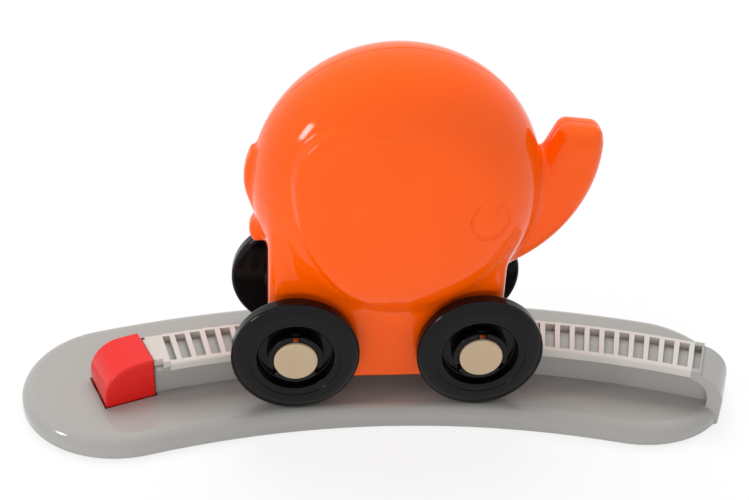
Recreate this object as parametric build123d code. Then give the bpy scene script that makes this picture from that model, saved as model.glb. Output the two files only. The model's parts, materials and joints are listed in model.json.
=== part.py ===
from build123d import *
import os
from math import asin, atan2, ceil, cos, degrees, floor, pi, radians, sin, sqrt

# A toy elephant on wheels that runs along a curved rack on a base, in millimetres.
# X runs along the track towards the trunk, Y across it towards the outside of the curve, Z up.
# The origin lies on the table under the middle of the elephant, on the track's centre line.
# Track angles are counted from +Y towards +X about the centre of the curve.
# A run is a length along the track's centre line, counted from the origin.

# Running, seating and screw clearances
run_gap = 0.08
seat_gap = 0.15
screw_gap = 0.05
slide_gap = 0.35
cut_over = 1.0

# Base plate
rail_radius = 360.5
base_height = 9.0
base_half_width = 38.9
base_mid_offset = 5.6
base_half_run = 106.1
base_trunk_extra = 0.6
base_near_round = 41.0
base_edge_round = 5.5
base_wall = 2.2
foot_stand = 1.0
foot_recess = 0.6
foot_radius = 5.0
foot_end_inset = 7.5
foot_side_inset = 15.5
cover_thickness = 1.4
cover_ledge = 2.5
cover_screw_end_inset = 36.0
cover_screw_side_inset = 18.5
boss_wall = 2.0

# Rail rib and its ladder
rail_height = 16.0
flange_half_width = 10.4
flange_thickness = 3.8
rib_half_width = 6.2
rib_wall = 1.8
rib_roof = 1.4
top_plate_half_width = 9.2
top_plate_thickness = 0.8
rung_pitch = 6.044
rung_width = 2.0
rail_start_inset = 22.0
window_half_length = 8.05
first_window_width = 2.8
flange_lead = 4.0
flange_step_run = 2.6
flange_step_width = 1.8
start_notch_width = 2.2
start_notch_depth = 1.2
start_notch_offset = 7.0
ladder_edge_round = 1.0

# Closed stop at the trunk end of the rail
stop_length = 14.6
stop_slot_width = 3.0
stop_slot_depth = 3.0
stop_slot_lip = 0.8
stop_drop = 1.2
groove_run_on = 8.4
groove_end_round = 9.0
stop_inset = 2.4
stop_top_round = 13.0
stop_corner_round = 2.0

# Red latch at the tail end of the rail
latch_length = 20.5
latch_width = 20.4
latch_height = 17.0
latch_lead = 21.7
latch_offset = 1.1
latch_turn = 5.0
latch_ramp_radius = 12.5
latch_wall = 1.6
latch_gap = 0.5
latch_edge_round = 0.8
latch_floor = 0.6
latch_press_gap = 0.25
post_radius = 4.5
post_rise = 3.0
latch_post_shift = 2.2
guide_plate_thickness = 1.5
stop_washer_radius = 5.8
stop_washer_thickness = 1.0
stop_screw_depth = 8.0
spring_wire = 0.8

# Wheels and stub axles
wheel_radius = 25.0
wheel_width = 7.64
wheel_base = 72.3
wheel_side_gap = 0.31
wheel_edge_round = 5.0
wheel_back_round = 2.0
wheel_step_radius = 17.65
wheel_step_depth = 0.7
wheel_recess_radius = 14.75
wheel_web = 2.0
collar_radius = 10.8
collar_slit = 2.7
collar_slits = 3
stub_radius = 8.45
stub_proud = 1.15
stub_groove_depth = 0.5
stub_groove_width = 1.6
spigot_radius = 6.0
spigot_tail = 1.2

# Elephant shells
shell_wall = 2.5
body_x = 3.1
body_lift = 61.1
body_radius = 55.7
body_rim_round = 28.8
body_face_round = 200.0
skirt_half_length = 46.35
skirt_half_width = 21.5
skirt_clearance = 8.5
skirt_corner_round = 7.0
axle_boss_radius = 9.6
axle_boss_rise = 2.3
trunk_half_thickness = 9.0
trunk_edge_round = 5.5
trunk_tip_round = 4.6
tail_half_thickness = 4.5
tail_edge_round = 3.0
ear_rise = 1.6
ear_reach = 48.0
ear_hinge_x = 8.0
eye_x = 32.9
eye_z = -1.2
eye_radius = 7.0
eye_line = 1.1
eye_depth = 0.6
eye_opening_turn = -10.0
shell_screw_inset = 12.0
shell_screw_boss = 4.0
shell_screw_head_y = 8.0

# Outlines of trunk, tail and ear: distance outside the body's rim, and angle up from the trunk's side
trunk_root_low_proud = 0.1
trunk_root_low_angle = -42.8
trunk_belly_proud = 12.5
trunk_belly_angle = -17.2
trunk_lip_proud = 24.3
trunk_lip_angle = 13.0
trunk_tip_front_proud = 24.7
trunk_tip_front_angle = 17.7
trunk_tip_back_proud = 11.0
trunk_tip_back_angle = 23.0
trunk_root_high_proud = -4.1
trunk_root_high_angle = 5.1
tail_root_high_proud = -5.9
tail_root_high_angle = 162.0
tail_shoulder_proud = 1.7
tail_shoulder_angle = 164.6
tail_middle_proud = 2.8
tail_middle_angle = 174.0
tail_waist_proud = -0.4
tail_waist_angle = 191.5
tail_tuft_top_proud = -0.4
tail_tuft_top_angle = 194.3
tail_tuft_middle_proud = 4.5
tail_tuft_middle_angle = 200.0
tail_tuft_end_proud = 4.3
tail_tuft_end_angle = 204.6
tail_root_low_proud = -3.35
tail_root_low_angle = 207.3
ear_top_proud = -24.3
ear_top_angle = 73.0
ear_crown_proud = -18.9
ear_crown_angle = 107.4
ear_arch_proud = -10.9
ear_arch_angle = 138.6
ear_back_proud = -13.8
ear_back_angle = 164.9
ear_edge_proud = -18.2
ear_edge_angle = 194.0
ear_lobe_proud = -15.6
ear_lobe_angle = 238.8
ear_lobe_low_proud = -14.7
ear_lobe_low_angle = 256.6
ear_bottom_proud = -18.8
ear_bottom_angle = 273.3

# Rail shoe in the belly
lip_thickness = 1.6
lip_gap = 0.5
shoe_wall = 2.0
shoe_roof = 2.0
shoe_wing_half_length = 28.0
shoe_screw_x = 23.0
shoe_post_radius = 3.2
shoe_post_height = 10.0
shoe_window_half_length = 15.0
shoe_window_half_width = 5.5

# Pinion, its shaft and the click spring
pinion_teeth = 12
pinion_width = 8.0
pinion_addendum = 1.3
pinion_dedendum = 2.4
pinion_tooth_base = 2.6
pinion_tooth_middle = 2.2
pinion_tooth_tip = 1.0
pinion_pitch_depth = 1.3
pinion_hub_radius = 4.2
pinion_shaft_radius = 2.0
shaft_boss_radius = 4.6
shaft_boss_length = 7.0
star_radius = 6.8
star_valley = 1.3
star_width = 3.0
star_y = 6.5
leaf_thickness = 0.4
leaf_width = 4.0
leaf_reach = 24.0
leaf_tip = 2.0
leaf_wedge = 0.9
leaf_post_radius = 3.5

# Screws
screw_radius = 1.5
screw_head_radius = 2.8
screw_head_height = 0.9
pan_head_height = 1.8
shoe_screw_head_radius = 2.2
axle_screw_head_radius = 4.8
screw_tip_gap = 1.0

# Heights and places that follow from the sizes above
cover_top = foot_stand + cover_thickness
rail_top = base_height + rail_height
flange_bottom = rail_top - flange_thickness
stop_top = rail_top - stop_drop
rung_bottom = flange_bottom + top_plate_thickness
base_end_angle = degrees(base_half_run / rail_radius)
base_far_round = 2 * base_half_width - base_near_round
end_offset = base_mid_offset - base_half_width + base_near_round
end_shift = base_near_round - base_far_round
end_lean = degrees(asin(end_shift / 2 / (rail_radius + end_offset)))
stop_end_run = base_half_run + base_trunk_extra + base_half_width - stop_inset
stop_end_angle = degrees(stop_end_run / rail_radius)
first_rung_run = rail_start_inset - base_half_run
last_rung_limit = stop_end_run - stop_length - rung_width / 2
rung_count = 1 + floor((last_rung_limit - first_rung_run) / rung_pitch)
rung_step = degrees(rung_pitch / rail_radius)
first_rung_angle = degrees(first_rung_run / rail_radius)
last_rung_angle = first_rung_angle + (rung_count - 1) * rung_step
ladder_end_angle = last_rung_angle + degrees(rung_width / 2 / rail_radius)
groove_end_angle = ladder_end_angle + degrees(groove_run_on / rail_radius)
flange_start_angle = first_rung_angle - degrees(flange_lead / rail_radius)
latch_angle = first_rung_angle - degrees(latch_lead / rail_radius)
lip_top = flange_bottom - slide_gap
lip_bottom = lip_top - lip_thickness
latch_top = base_height + latch_height
latch_floor_top = foot_stand + latch_floor
latch_travel = latch_top - lip_bottom + latch_press_gap
latch_rim = latch_floor_top + latch_travel + run_gap
post_top = base_height + post_rise
axle_z = base_height + run_gap + wheel_radius
axle_x = wheel_base / 2
wheel_inner_y = skirt_half_width + axle_boss_rise + wheel_side_gap
wheel_outer_y = wheel_inner_y + wheel_width
stub_end_y = wheel_outer_y + stub_proud
journal_end_y = wheel_outer_y - stub_groove_width
body_z = axle_z + body_lift
skirt_bottom = base_height + skirt_clearance
pinion_pitch_radius = pinion_teeth * rung_pitch / (2 * pi)
pinion_z = rail_top - pinion_pitch_depth + pinion_pitch_radius
star_top = pinion_z + star_radius
shoe_inner = flange_half_width + slide_gap
shoe_outer = shoe_inner + shoe_wall
shoe_roof_bottom = rail_top + slide_gap
shoe_roof_top = shoe_roof_bottom + shoe_roof
shoe_half_length = (skirt_half_length - shell_wall - slide_gap) * rail_radius / (rail_radius + shoe_outer)
shoe_wing_y = skirt_half_width - shell_wall - slide_gap
shoe_screw_y = skirt_half_width - shell_wall - shoe_post_radius + run_gap
far_reach = 2 * rail_radius


def track_point(offset, angle):
    """Plan point at an offset from the track's centre line and an angle along it."""
    radius = rail_radius + offset
    return (radius * sin(radians(angle)), radius * cos(radians(angle)) - rail_radius)


def track_place(offset, angle, height=0.0, turn=0.0):
    """Place on the track with its own X along the track and Y outwards."""
    x, y = track_point(offset, angle)
    return Pos(x, y, height) * Rot(0, 0, turn - angle)


def track_arc(offset, start, end):
    middle = (start + end) / 2
    return ThreePointArc(track_point(offset, start), track_point(offset, middle), track_point(offset, end))


def track_sector(inner, outer, start, end, low, high):
    """Curved bar between two offsets, two angles and two heights."""
    outline = [
        track_arc(inner, start, end),
        Line(track_point(inner, end), track_point(outer, end)),
        track_arc(outer, end, start),
        Line(track_point(outer, start), track_point(inner, start)),
    ]
    return Pos(0, 0, low) * extrude(make_face(outline), high - low)


def end_spots(side, inset):
    """Plan points round one end of the base: near edge, near corner, tip, far corner and far edge."""
    near_round = base_near_round - inset
    far_round = base_far_round - inset
    run = base_half_run + base_half_width - base_near_round
    run += base_trunk_extra if side > 0 else 0
    angle = side * degrees(run / rail_radius)
    centre = track_place(end_offset, angle, 0, -side * end_lean)
    between = []
    for x, y in (
            (near_round * cos(pi / 4), -near_round * sin(pi / 4)), (near_round, 0),
            (end_shift + far_round * cos(pi / 4), far_round * sin(pi / 4))):
        spot = (centre * Pos(side * x, y)).position
        between.append((spot.X, spot.Y))
    near = track_point(end_offset - near_round, angle)
    far = track_point(end_offset + far_round, angle + 2 * side * end_lean)
    return [near] + between + [far]


def base_slot(inset, low, high):
    """Plan shape of the base: a curved slot whose round ends lean a little, moved in by an inset."""
    left_near, left_low, left_tip, left_high, left_far = end_spots(-1, inset)
    right_near, right_low, right_tip, right_high, right_far = end_spots(1, inset)
    outer = end_offset + base_far_round - inset
    inner = end_offset - base_near_round + inset
    outline = [
        ThreePointArc(left_far, track_point(outer, 0), right_far),
        ThreePointArc(right_far, right_high, right_tip),
        ThreePointArc(right_tip, right_low, right_near),
        ThreePointArc(right_near, track_point(inner, 0), left_near),
        ThreePointArc(left_near, left_low, left_tip),
        ThreePointArc(left_tip, left_high, left_far),
    ]
    return Pos(0, 0, low) * extrude(make_face(outline), high - low)


def upright(radius, low, high):
    """Round post along Z between two heights."""
    return Pos(0, 0, (low + high) / 2) * Cylinder(radius, high - low)


def crosswise(radius, y_from, y_to):
    """Round bar along Y between two depths."""
    return Pos(0, (y_from + y_to) / 2, 0) * Rot(90, 0, 0) * Cylinder(radius, abs(y_to - y_from))


def block(size_x, size_y, low, high):
    """Box centred on Z between two heights."""
    return Pos(0, 0, (low + high) / 2) * Box(size_x, size_y, high - low)


def side_plate(face, y_from, y_to):
    """Outline drawn as X and Z, thickened from one depth to another on the near side, y below zero."""
    return Rot(90, 0, 0) * Pos(0, 0, y_from) * extrude(face, y_to - y_from)


def far_side(shape):
    return mirror(shape, about=Plane.XZ)


latch_place = track_place(latch_offset, latch_angle, 0, latch_turn)
latch_post_place = latch_place * Pos(latch_post_shift, 0)
cover_screw_angle = base_end_angle - degrees(cover_screw_end_inset / rail_radius)
cover_screw_places = [
    track_place(base_mid_offset + side * (base_half_width - cover_screw_side_inset), angle)
    for angle in (-cover_screw_angle, 0, cover_screw_angle)
    for side in (-1, 1)
]
foot_angle = base_end_angle - degrees(foot_end_inset / rail_radius)
foot_places = [track_place(0, 0)] + [
    track_place(base_mid_offset + side * (base_half_width - foot_side_inset), angle)
    for angle in (-foot_angle, foot_angle)
    for side in (-1, 1)
]


def latch_room(gap, low, high):
    """Space for the latch with a gap all round."""
    return block(latch_length + 2 * gap, latch_width + 2 * gap, low, high)


def rail_end_cut():
    """Everything on the latch's side of the rail's start, which runs parallel to the latch."""
    reach = base_half_width + latch_length
    edge = latch_length / 2 + latch_gap
    return latch_place * Pos(edge - reach, 0) * block(2 * reach, 2 * reach, base_height, far_reach)


def build_stop():
    """Closed end of the rail: a short slot, then a lower domed block with round-ended side grooves."""
    start = ladder_end_angle + degrees(run_gap / rail_radius)
    slot_end = ladder_end_angle + degrees((stop_slot_width + stop_slot_lip) / rail_radius)
    whole = track_sector(-flange_half_width, flange_half_width, start, stop_end_angle, foot_stand, stop_top)
    corners = whole.edges().filter_by(Axis.Z).sort_by(lambda edge: edge.center().X)[-2:]
    whole = fillet(corners, stop_corner_round)
    reach = stop_length + flange_half_width
    dome = Pos(-reach, 0) * block(2 * reach, 2 * reach, foot_stand - cut_over, stop_top)
    dome = fillet(end_crest(dome), stop_top_round)
    whole = whole & track_place(0, stop_end_angle) * dome
    whole += track_sector(-flange_half_width, flange_half_width, start, slot_end, flange_bottom, rail_top)
    slot_angle = ladder_end_angle + degrees(stop_slot_width / 2 / rail_radius)
    slot = track_place(0, slot_angle) * block(
        stop_slot_width, 2 * window_half_length, rail_top - stop_slot_depth, rail_top + stop_slot_depth)
    return whole - slot - [stop_groove(side) for side in (-1, 1)]


def end_crest(shape):
    """Top edge across the end of a block that lies along X."""
    return shape.edges().filter_by(Axis.Y).sort_by(lambda edge: edge.center().X + edge.center().Z)[-1:]


def stop_groove(side):
    """Side groove under the flange, run on to its round end and open to the side."""
    run = groove_run_on + rung_pitch
    depth = flange_half_width - rib_half_width + cut_over
    groove = Pos(-run / 2, 0) * block(run, depth, base_height, flange_bottom)
    groove = fillet(end_crest(groove), groove_end_round)
    offset_out = rib_half_width + depth / 2
    offset_out += run_gap if side > 0 else 0
    return track_place(side * offset_out, groove_end_angle) * groove


def build_base_shell():
    plate = base_slot(0, foot_stand, base_height)
    plate = fillet(plate.faces().sort_by(Axis.Z)[-1].edges(), base_edge_round)
    root = base_height - base_wall / 2
    rib = track_sector(-rib_half_width, rib_half_width, latch_angle, groove_end_angle, root, flange_bottom)
    rib += track_sector(
        -top_plate_half_width, top_plate_half_width, latch_angle, ladder_end_angle,
        flange_bottom, rung_bottom)
    beyond = stop_end_angle + degrees((stop_inset + base_edge_round) / rail_radius)
    far_side = base_mid_offset + base_half_width
    plate -= track_sector(-flange_half_width, far_side, stop_end_angle, beyond, 0, base_height + cut_over)
    plate = plate + (rib - rail_end_cut()) + build_stop()
    ceiling = base_height - base_wall
    plate -= base_slot(base_edge_round, foot_stand, ceiling)
    plate -= base_slot(base_edge_round - cover_ledge, foot_stand, cover_top)
    hollow = rib_half_width - rib_wall
    plate -= track_sector(
        -hollow, hollow, first_rung_angle, ladder_end_angle, foot_stand, flange_bottom - rib_roof)
    for place in cover_screw_places:
        plate += place * upright(screw_radius + boss_wall, cover_top, ceiling)
        plate -= place * upright(screw_radius + screw_gap, foot_stand, ceiling - screw_gap)
    return plate - latch_place * latch_room(latch_gap, foot_stand, base_height + cut_over)


def build_rack_ladder():
    strip = track_sector(
        -flange_half_width, flange_half_width, latch_angle, ladder_end_angle, flange_bottom, rail_top)
    long_edges = strip.edges().filter_by(GeomType.CIRCLE)
    strip = fillet(long_edges, ladder_edge_round)
    recess = top_plate_half_width + screw_gap
    start = latch_angle - rung_step
    low = flange_bottom - cut_over
    high = rail_top + cut_over
    strip -= track_sector(-recess, recess, start, ladder_end_angle + rung_step, low, rung_bottom)
    strip -= rail_end_cut()
    step_angle = flange_start_angle - degrees(flange_step_run / rail_radius)
    step_offset = flange_half_width - flange_step_width
    strip -= track_sector(-2 * flange_half_width, -rib_half_width, start, step_angle, low, high)
    strip -= track_sector(-2 * flange_half_width, -step_offset, start, flange_start_angle, low, high)
    notch = block(2 * start_notch_depth, start_notch_width, low, high)
    strip -= latch_place * Pos(latch_length / 2 + latch_gap, start_notch_offset) * notch
    windows = []
    for index in range(1, rung_count):
        angle = first_rung_angle + (index - 0.5) * rung_step
        window = block(rung_pitch - rung_width, 2 * window_half_length, low, high)
        windows.append(track_place(0, angle) * window)
    first_middle = first_rung_angle - degrees((rung_width + first_window_width) / 2 / rail_radius)
    first = block(first_window_width, 2 * window_half_length, low, high)
    windows.append(track_place(0, first_middle) * first)
    return strip - windows


def build_base_cover():
    cover = base_slot(base_edge_round - cover_ledge + seat_gap, foot_stand, cover_top)
    for place in cover_screw_places:
        cover -= place * upright(screw_radius + screw_gap, 0, cover_top)
        cover -= place * upright(screw_head_radius + seat_gap, 0, foot_stand + screw_head_height)
    for place in foot_places:
        cover -= place * upright(foot_radius + screw_gap, 0, foot_stand + foot_recess)
    cover -= latch_place * latch_room(2 * latch_gap, latch_floor_top, cover_top + cut_over)
    hole_low = post_top - stop_screw_depth - screw_tip_gap
    post = upright(post_radius, foot_stand, post_top) - upright(screw_radius + screw_gap, hole_low, post_top)
    return cover + latch_post_place * post


def build_base_screws():
    shank_top = base_height - base_wall - screw_head_height / 2
    screw = upright(screw_head_radius, foot_stand, foot_stand + screw_head_height)
    screw += upright(screw_radius, foot_stand, shank_top)
    return [place * screw for place in cover_screw_places]


def build_rubber_feet():
    foot = upright(foot_radius, 0, foot_stand + foot_recess)
    foot = fillet(foot.edges().sort_by(Axis.Z)[:1], foot_stand / 2)
    return [place * foot for place in foot_places]


def latch_profile(inset):
    """Side view of the latch: a straight back towards the rail and a quarter-round ramp away from it."""
    back = latch_length / 2 - inset
    front = -latch_length / 2 + inset
    top = latch_top - inset
    radius = latch_ramp_radius - inset
    shoulder = top - radius
    low = latch_rim - inset
    middle = (front + radius * (1 - cos(pi / 4)), shoulder + radius * sin(pi / 4))
    outline = [
        Line((front, low), (front, shoulder)),
        ThreePointArc((front, shoulder), middle, (front + radius, top)),
        Line((front + radius, top), (back, top)),
        Line((back, top), (back, low)),
        Line((back, low), (front, low)),
    ]
    return make_face(outline)


def build_latch_button():
    cap = side_plate(latch_profile(0), -latch_width / 2, latch_width / 2)
    rims = cap.faces().filter_by(Axis.Y).edges()
    rims = rims.filter_by(lambda edge: edge.center().Z > latch_rim + latch_edge_round)
    cap = fillet(rims, latch_edge_round)
    hollow_half = latch_width / 2 - latch_wall
    cap -= side_plate(latch_profile(latch_wall), -hollow_half, hollow_half)
    return latch_place * cap


def build_latch_guide_plate():
    top = post_top - run_gap
    size_x = latch_length - 2 * latch_wall - 2 * slide_gap
    size_y = latch_width - 2 * latch_wall - 2 * seat_gap
    plate = block(size_x, size_y, top - guide_plate_thickness, top)
    return latch_place * plate - latch_post_place * upright(post_radius + run_gap, 0, far_reach)


def build_latch_stop_screw():
    washer_top = post_top + stop_washer_thickness
    washer = upright(stop_washer_radius, post_top, washer_top) - upright(screw_radius, post_top, washer_top)
    screw = upright(screw_head_radius, washer_top, washer_top + pan_head_height)
    screw += upright(screw_radius, post_top - stop_screw_depth, washer_top)
    return [latch_post_place * washer, latch_post_place * screw]


def build_latch_spring():
    low = latch_floor_top
    high = post_top - run_gap - guide_plate_thickness
    inner = post_radius + slide_gap
    return latch_post_place * (upright(inner + spring_wire, low, high) - upright(inner, low, high))


def build_wheel(x, side):
    """Wheel with a stepped face, a deep recess and a split collar that snaps into the stub's groove."""
    collar_bore = stub_radius + run_gap
    bead_radius = stub_radius - stub_groove_depth + 2 * run_gap
    bead_top = wheel_width - run_gap
    bead_low = bead_top - stub_groove_width + 2 * seat_gap
    tyre = Pos(0, 0, wheel_width / 2) * Cylinder(wheel_radius, wheel_width)
    tyre = fillet(tyre.edges().filter_by(GeomType.CIRCLE).sort_by(Axis.Z)[-1:], wheel_edge_round)
    tyre = fillet(tyre.edges().filter_by(GeomType.CIRCLE).sort_by(Axis.Z)[:1], wheel_back_round)
    tyre -= upright(wheel_step_radius, wheel_width - wheel_step_depth, wheel_width)
    tyre -= upright(wheel_recess_radius, wheel_web, wheel_width)
    tyre += upright(collar_radius, 0, wheel_width) - upright(collar_bore, 0, wheel_width)
    bore = upright(collar_bore, 0, wheel_width)
    tyre -= bore
    bead = upright(collar_bore + run_gap, bead_low, bead_top) - upright(bead_radius, bead_low, bead_top)
    tyre += bead
    slit = Box(collar_slit, collar_radius, 2 * wheel_width)
    slit = Pos(0, collar_radius / 2 + seat_gap, wheel_width / 2) * slit
    for index in range(collar_slits):
        tyre -= Rot(0, 0, index * 360 / collar_slits) * slit
    tyre = Rot(90, 0, 0) * tyre
    tyre = tyre if side < 0 else far_side(tyre)
    return Pos(x, side * wheel_inner_y, axle_z) * tyre


def build_stub(x, side):
    """End cap of an axle: a head, a neck that leaves a groove for the wheel's collar, and a long spigot."""
    stub = crosswise(stub_radius, -wheel_outer_y, -stub_end_y)
    stub = fillet(stub.edges().sort_by(Axis.Y)[:1], stub_groove_depth)
    stub += crosswise(stub_radius - stub_groove_depth, -journal_end_y, -wheel_outer_y)
    spigot_end = skirt_half_width - shell_wall - spigot_tail
    stub += crosswise(spigot_radius, -spigot_end, -journal_end_y)
    stub -= crosswise(screw_radius + screw_gap, -spigot_end, -skirt_half_width - axle_boss_rise)
    stub = stub if side < 0 else far_side(stub)
    return Pos(x, 0, axle_z) * stub


def build_axle_screws():
    screws = []
    head_y = skirt_half_width - shell_wall - spigot_tail
    for x in (-axle_x, axle_x):
        for side in (-1, 1):
            screw = crosswise(axle_screw_head_radius, -head_y, -head_y + pan_head_height)
            screw += crosswise(screw_radius, -head_y, -skirt_half_width)
            screw = screw if side < 0 else far_side(screw)
            screws.append(Pos(x, 0, axle_z) * screw)
    return screws


def pillow(inset):
    """Near half of the body: a flat domed face that rolls into a full round rim at the seam."""
    radius = body_radius - inset
    rim = body_rim_round - inset
    face = body_face_round - inset
    core = radius - rim
    drop = sqrt((face - rim) ** 2 - core ** 2)
    thick = face - drop
    join = atan2(drop, core)
    half_join = join / 2
    half_face = (join + pi / 2) / 2
    rim_middle = (core + rim * cos(half_join), -rim * sin(half_join))
    rim_end = (core + rim * cos(join), -rim * sin(join))
    face_middle = (face * cos(half_face), drop - face * sin(half_face))
    outline = [
        Line((0, 0), (radius, 0)),
        ThreePointArc((radius, 0), rim_middle, rim_end),
        ThreePointArc(rim_end, face_middle, (0, -thick)),
        Line((0, -thick), (0, 0)),
    ]
    return Pos(body_x, 0, body_z) * revolve(make_face(outline), Axis.Y)


def skirt(inset, low):
    """Near half of the block under the body that carries the wheels."""
    length = skirt_half_length - inset
    width = skirt_half_width - inset
    corner = skirt_corner_round - inset
    turn = corner * (1 - cos(pi / 4))
    outline = [
        Line((-length, 0), (-length, corner - width)),
        ThreePointArc((-length, corner - width), (turn - length, turn - width), (corner - length, -width)),
        Line((corner - length, -width), (length - corner, -width)),
        ThreePointArc((length - corner, -width), (length - turn, turn - width), (length, corner - width)),
        Line((length, corner - width), (length, 0)),
        Line((length, 0), (-length, 0)),
    ]
    return Pos(0, 0, low) * extrude(make_face(outline), body_z - low)


def rim_point(proud, angle):
    """Point in the side view from its distance outside the body's rim and its angle."""
    reach = body_radius + proud
    return (reach * cos(radians(angle)), reach * sin(radians(angle)))


def trunk_face():
    """Side view of the raised trunk about the body's centre. Its flat tip faces up."""
    root_low = rim_point(trunk_root_low_proud, trunk_root_low_angle)
    root_high = rim_point(trunk_root_high_proud, trunk_root_high_angle)
    lip = rim_point(trunk_lip_proud, trunk_lip_angle)
    tip_front = rim_point(trunk_tip_front_proud, trunk_tip_front_angle)
    tip_back = rim_point(trunk_tip_back_proud, trunk_tip_back_angle)
    outline = [
        ThreePointArc(root_low, rim_point(trunk_belly_proud, trunk_belly_angle), lip),
        Line(lip, tip_front),
        Line(tip_front, tip_back),
        Line(tip_back, root_high),
        Line(root_high, root_low),
    ]
    face = make_face(outline)
    tips = face.vertices().sort_by(Axis.Y)[-2:]
    return fillet(tips, trunk_tip_round)


def tail_face():
    """Side view of the tail about the body's centre. It hangs along the rump and ends in a tuft."""
    root_high = rim_point(tail_root_high_proud, tail_root_high_angle)
    shoulder = rim_point(tail_shoulder_proud, tail_shoulder_angle)
    waist = rim_point(tail_waist_proud, tail_waist_angle)
    tuft_top = rim_point(tail_tuft_top_proud, tail_tuft_top_angle)
    tuft_end = rim_point(tail_tuft_end_proud, tail_tuft_end_angle)
    root_low = rim_point(tail_root_low_proud, tail_root_low_angle)
    outline = [
        Line(root_high, shoulder),
        ThreePointArc(shoulder, rim_point(tail_middle_proud, tail_middle_angle), waist),
        Line(waist, tuft_top),
        ThreePointArc(tuft_top, rim_point(tail_tuft_middle_proud, tail_tuft_middle_angle), tuft_end),
        Line(tuft_end, root_low),
        Line(root_low, root_high),
    ]
    return make_face(outline)


def ear_face():
    """Side view of the ear, whose step fades out towards the head."""
    top = rim_point(ear_top_proud, ear_top_angle)
    crown = rim_point(ear_crown_proud, ear_crown_angle)
    arch = rim_point(ear_arch_proud, ear_arch_angle)
    back = rim_point(ear_back_proud, ear_back_angle)
    edge = rim_point(ear_edge_proud, ear_edge_angle)
    lobe = rim_point(ear_lobe_proud, ear_lobe_angle)
    lobe_low = rim_point(ear_lobe_low_proud, ear_lobe_low_angle)
    bottom = rim_point(ear_bottom_proud, ear_bottom_angle)
    outline = [
        Line(top, crown),
        ThreePointArc(crown, arch, back),
        ThreePointArc(back, edge, lobe),
        ThreePointArc(lobe, lobe_low, bottom),
        Line(bottom, top),
    ]
    return Pos(body_x, body_z) * make_face(outline)


def rounded_plate(face, thickness, edge_round):
    """Near half of a plate on the body, from its side view about the body's centre, with a round edge."""
    plate = extrude(face, thickness)
    plate = fillet(plate.faces().sort_by(Axis.Z)[-1].edges(), edge_round)
    return Pos(body_x, 0, body_z) * Rot(90, 0, 0) * plate


def ear():
    """Plateau that rises towards the tail, cut from the body turned about an upright line in the face."""
    lean = degrees(asin(ear_rise / ear_reach))
    whole = pillow(0) + far_side(pillow(0))
    hinge = body_x + ear_hinge_x
    turned = Pos(hinge, 0, 0) * Rot(0, 0, lean) * Pos(-hinge, 0, 0) * whole
    return turned & side_plate(ear_face(), body_rim_round / 2, body_radius)


def eye_groove():
    """Open ring drawn in the face, of even depth."""
    ring = Circle(eye_radius + eye_line / 2) - Circle(eye_radius - eye_line / 2)
    opening = Pos(0, eye_radius) * Rectangle(eye_radius, eye_radius)
    ring = Pos(body_x + eye_x, body_z + eye_z) * (ring - Rot(0, 0, eye_opening_turn) * opening)
    return side_plate(ring, body_rim_round / 2, body_radius) - pillow(eye_depth)


shell_screw_reach = body_radius - shell_screw_inset
shell_screw_points = [
    (body_x + sx * shell_screw_reach * cos(pi / 4), body_z + sz * shell_screw_reach * sin(pi / 4))
    for sx in (-1, 1)
    for sz in (-1, 1)
]


def half_shell():
    """One half of the elephant on the near side, hollow, with its bosses."""
    outer = pillow(0) + skirt(0, skirt_bottom)
    outer += rounded_plate(trunk_face(), trunk_half_thickness, trunk_edge_round)
    outer += rounded_plate(tail_face(), tail_half_thickness, tail_edge_round)
    outer += ear()
    outer -= eye_groove()
    boss_y = skirt_half_width + axle_boss_rise
    for x in (-axle_x, axle_x):
        outer += Pos(x, 0, axle_z) * crosswise(axle_boss_radius, -skirt_half_width + shell_wall, -boss_y)
        outer += Pos(x, 0, axle_z) * crosswise(stub_radius, -skirt_half_width, -journal_end_y)
    inner = pillow(shell_wall) + skirt(shell_wall, skirt_bottom - cut_over)
    trunk_room = offset(trunk_face(), -shell_wall)
    inner += Pos(body_x, 0, body_z) * side_plate(trunk_room, 0, trunk_half_thickness - shell_wall)
    shell = outer - inner
    for x in (-axle_x, axle_x):
        shell -= Pos(x, 0, axle_z) * crosswise(spigot_radius + screw_gap, 0, -journal_end_y)
    envelope = pillow(shell_wall / 2) + skirt(shell_wall / 2, skirt_bottom)
    for x, z in shell_screw_points:
        shell += Pos(x, 0, z) * crosswise(shell_screw_boss, 0, -body_rim_round) & envelope
    for sx in (-1, 1):
        post = Pos(sx * shoe_screw_x, -shoe_screw_y) * upright(
            shoe_post_radius, shoe_roof_top, shoe_roof_top + shoe_post_height)
        shell += post
        shell -= Pos(sx * shoe_screw_x, -shoe_screw_y) * upright(
            screw_radius + screw_gap, 0, shoe_roof_top + shoe_post_height - screw_tip_gap)
    wall_y = skirt_half_width - shell_wall / 2
    boss_end = skirt_half_width - shell_wall - shaft_boss_length
    shaft_line = Pos(0, 0, pinion_z)
    shell += shaft_line * crosswise(shaft_boss_radius, -boss_end, -wall_y)
    shell -= shaft_line * crosswise(pinion_shaft_radius + screw_gap, 0, -skirt_half_width + shell_wall)
    mouth = shoe_inner + seat_gap
    reach = degrees((skirt_half_length + mouth) / rail_radius)
    shell -= track_sector(-mouth, mouth, -reach, reach, skirt_bottom - cut_over, shoe_roof_bottom)
    return shell


def build_shells():
    half = half_shell()
    near = half
    far = far_side(half)
    for x, z in shell_screw_points:
        line = Pos(x, 0, z)
        near -= line * crosswise(screw_radius + screw_gap, 0, -shell_screw_head_y)
        far -= line * crosswise(screw_radius + screw_gap, 0, body_radius)
        far -= line * crosswise(screw_head_radius + seat_gap, shell_screw_head_y, body_radius)
    return near, far


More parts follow.
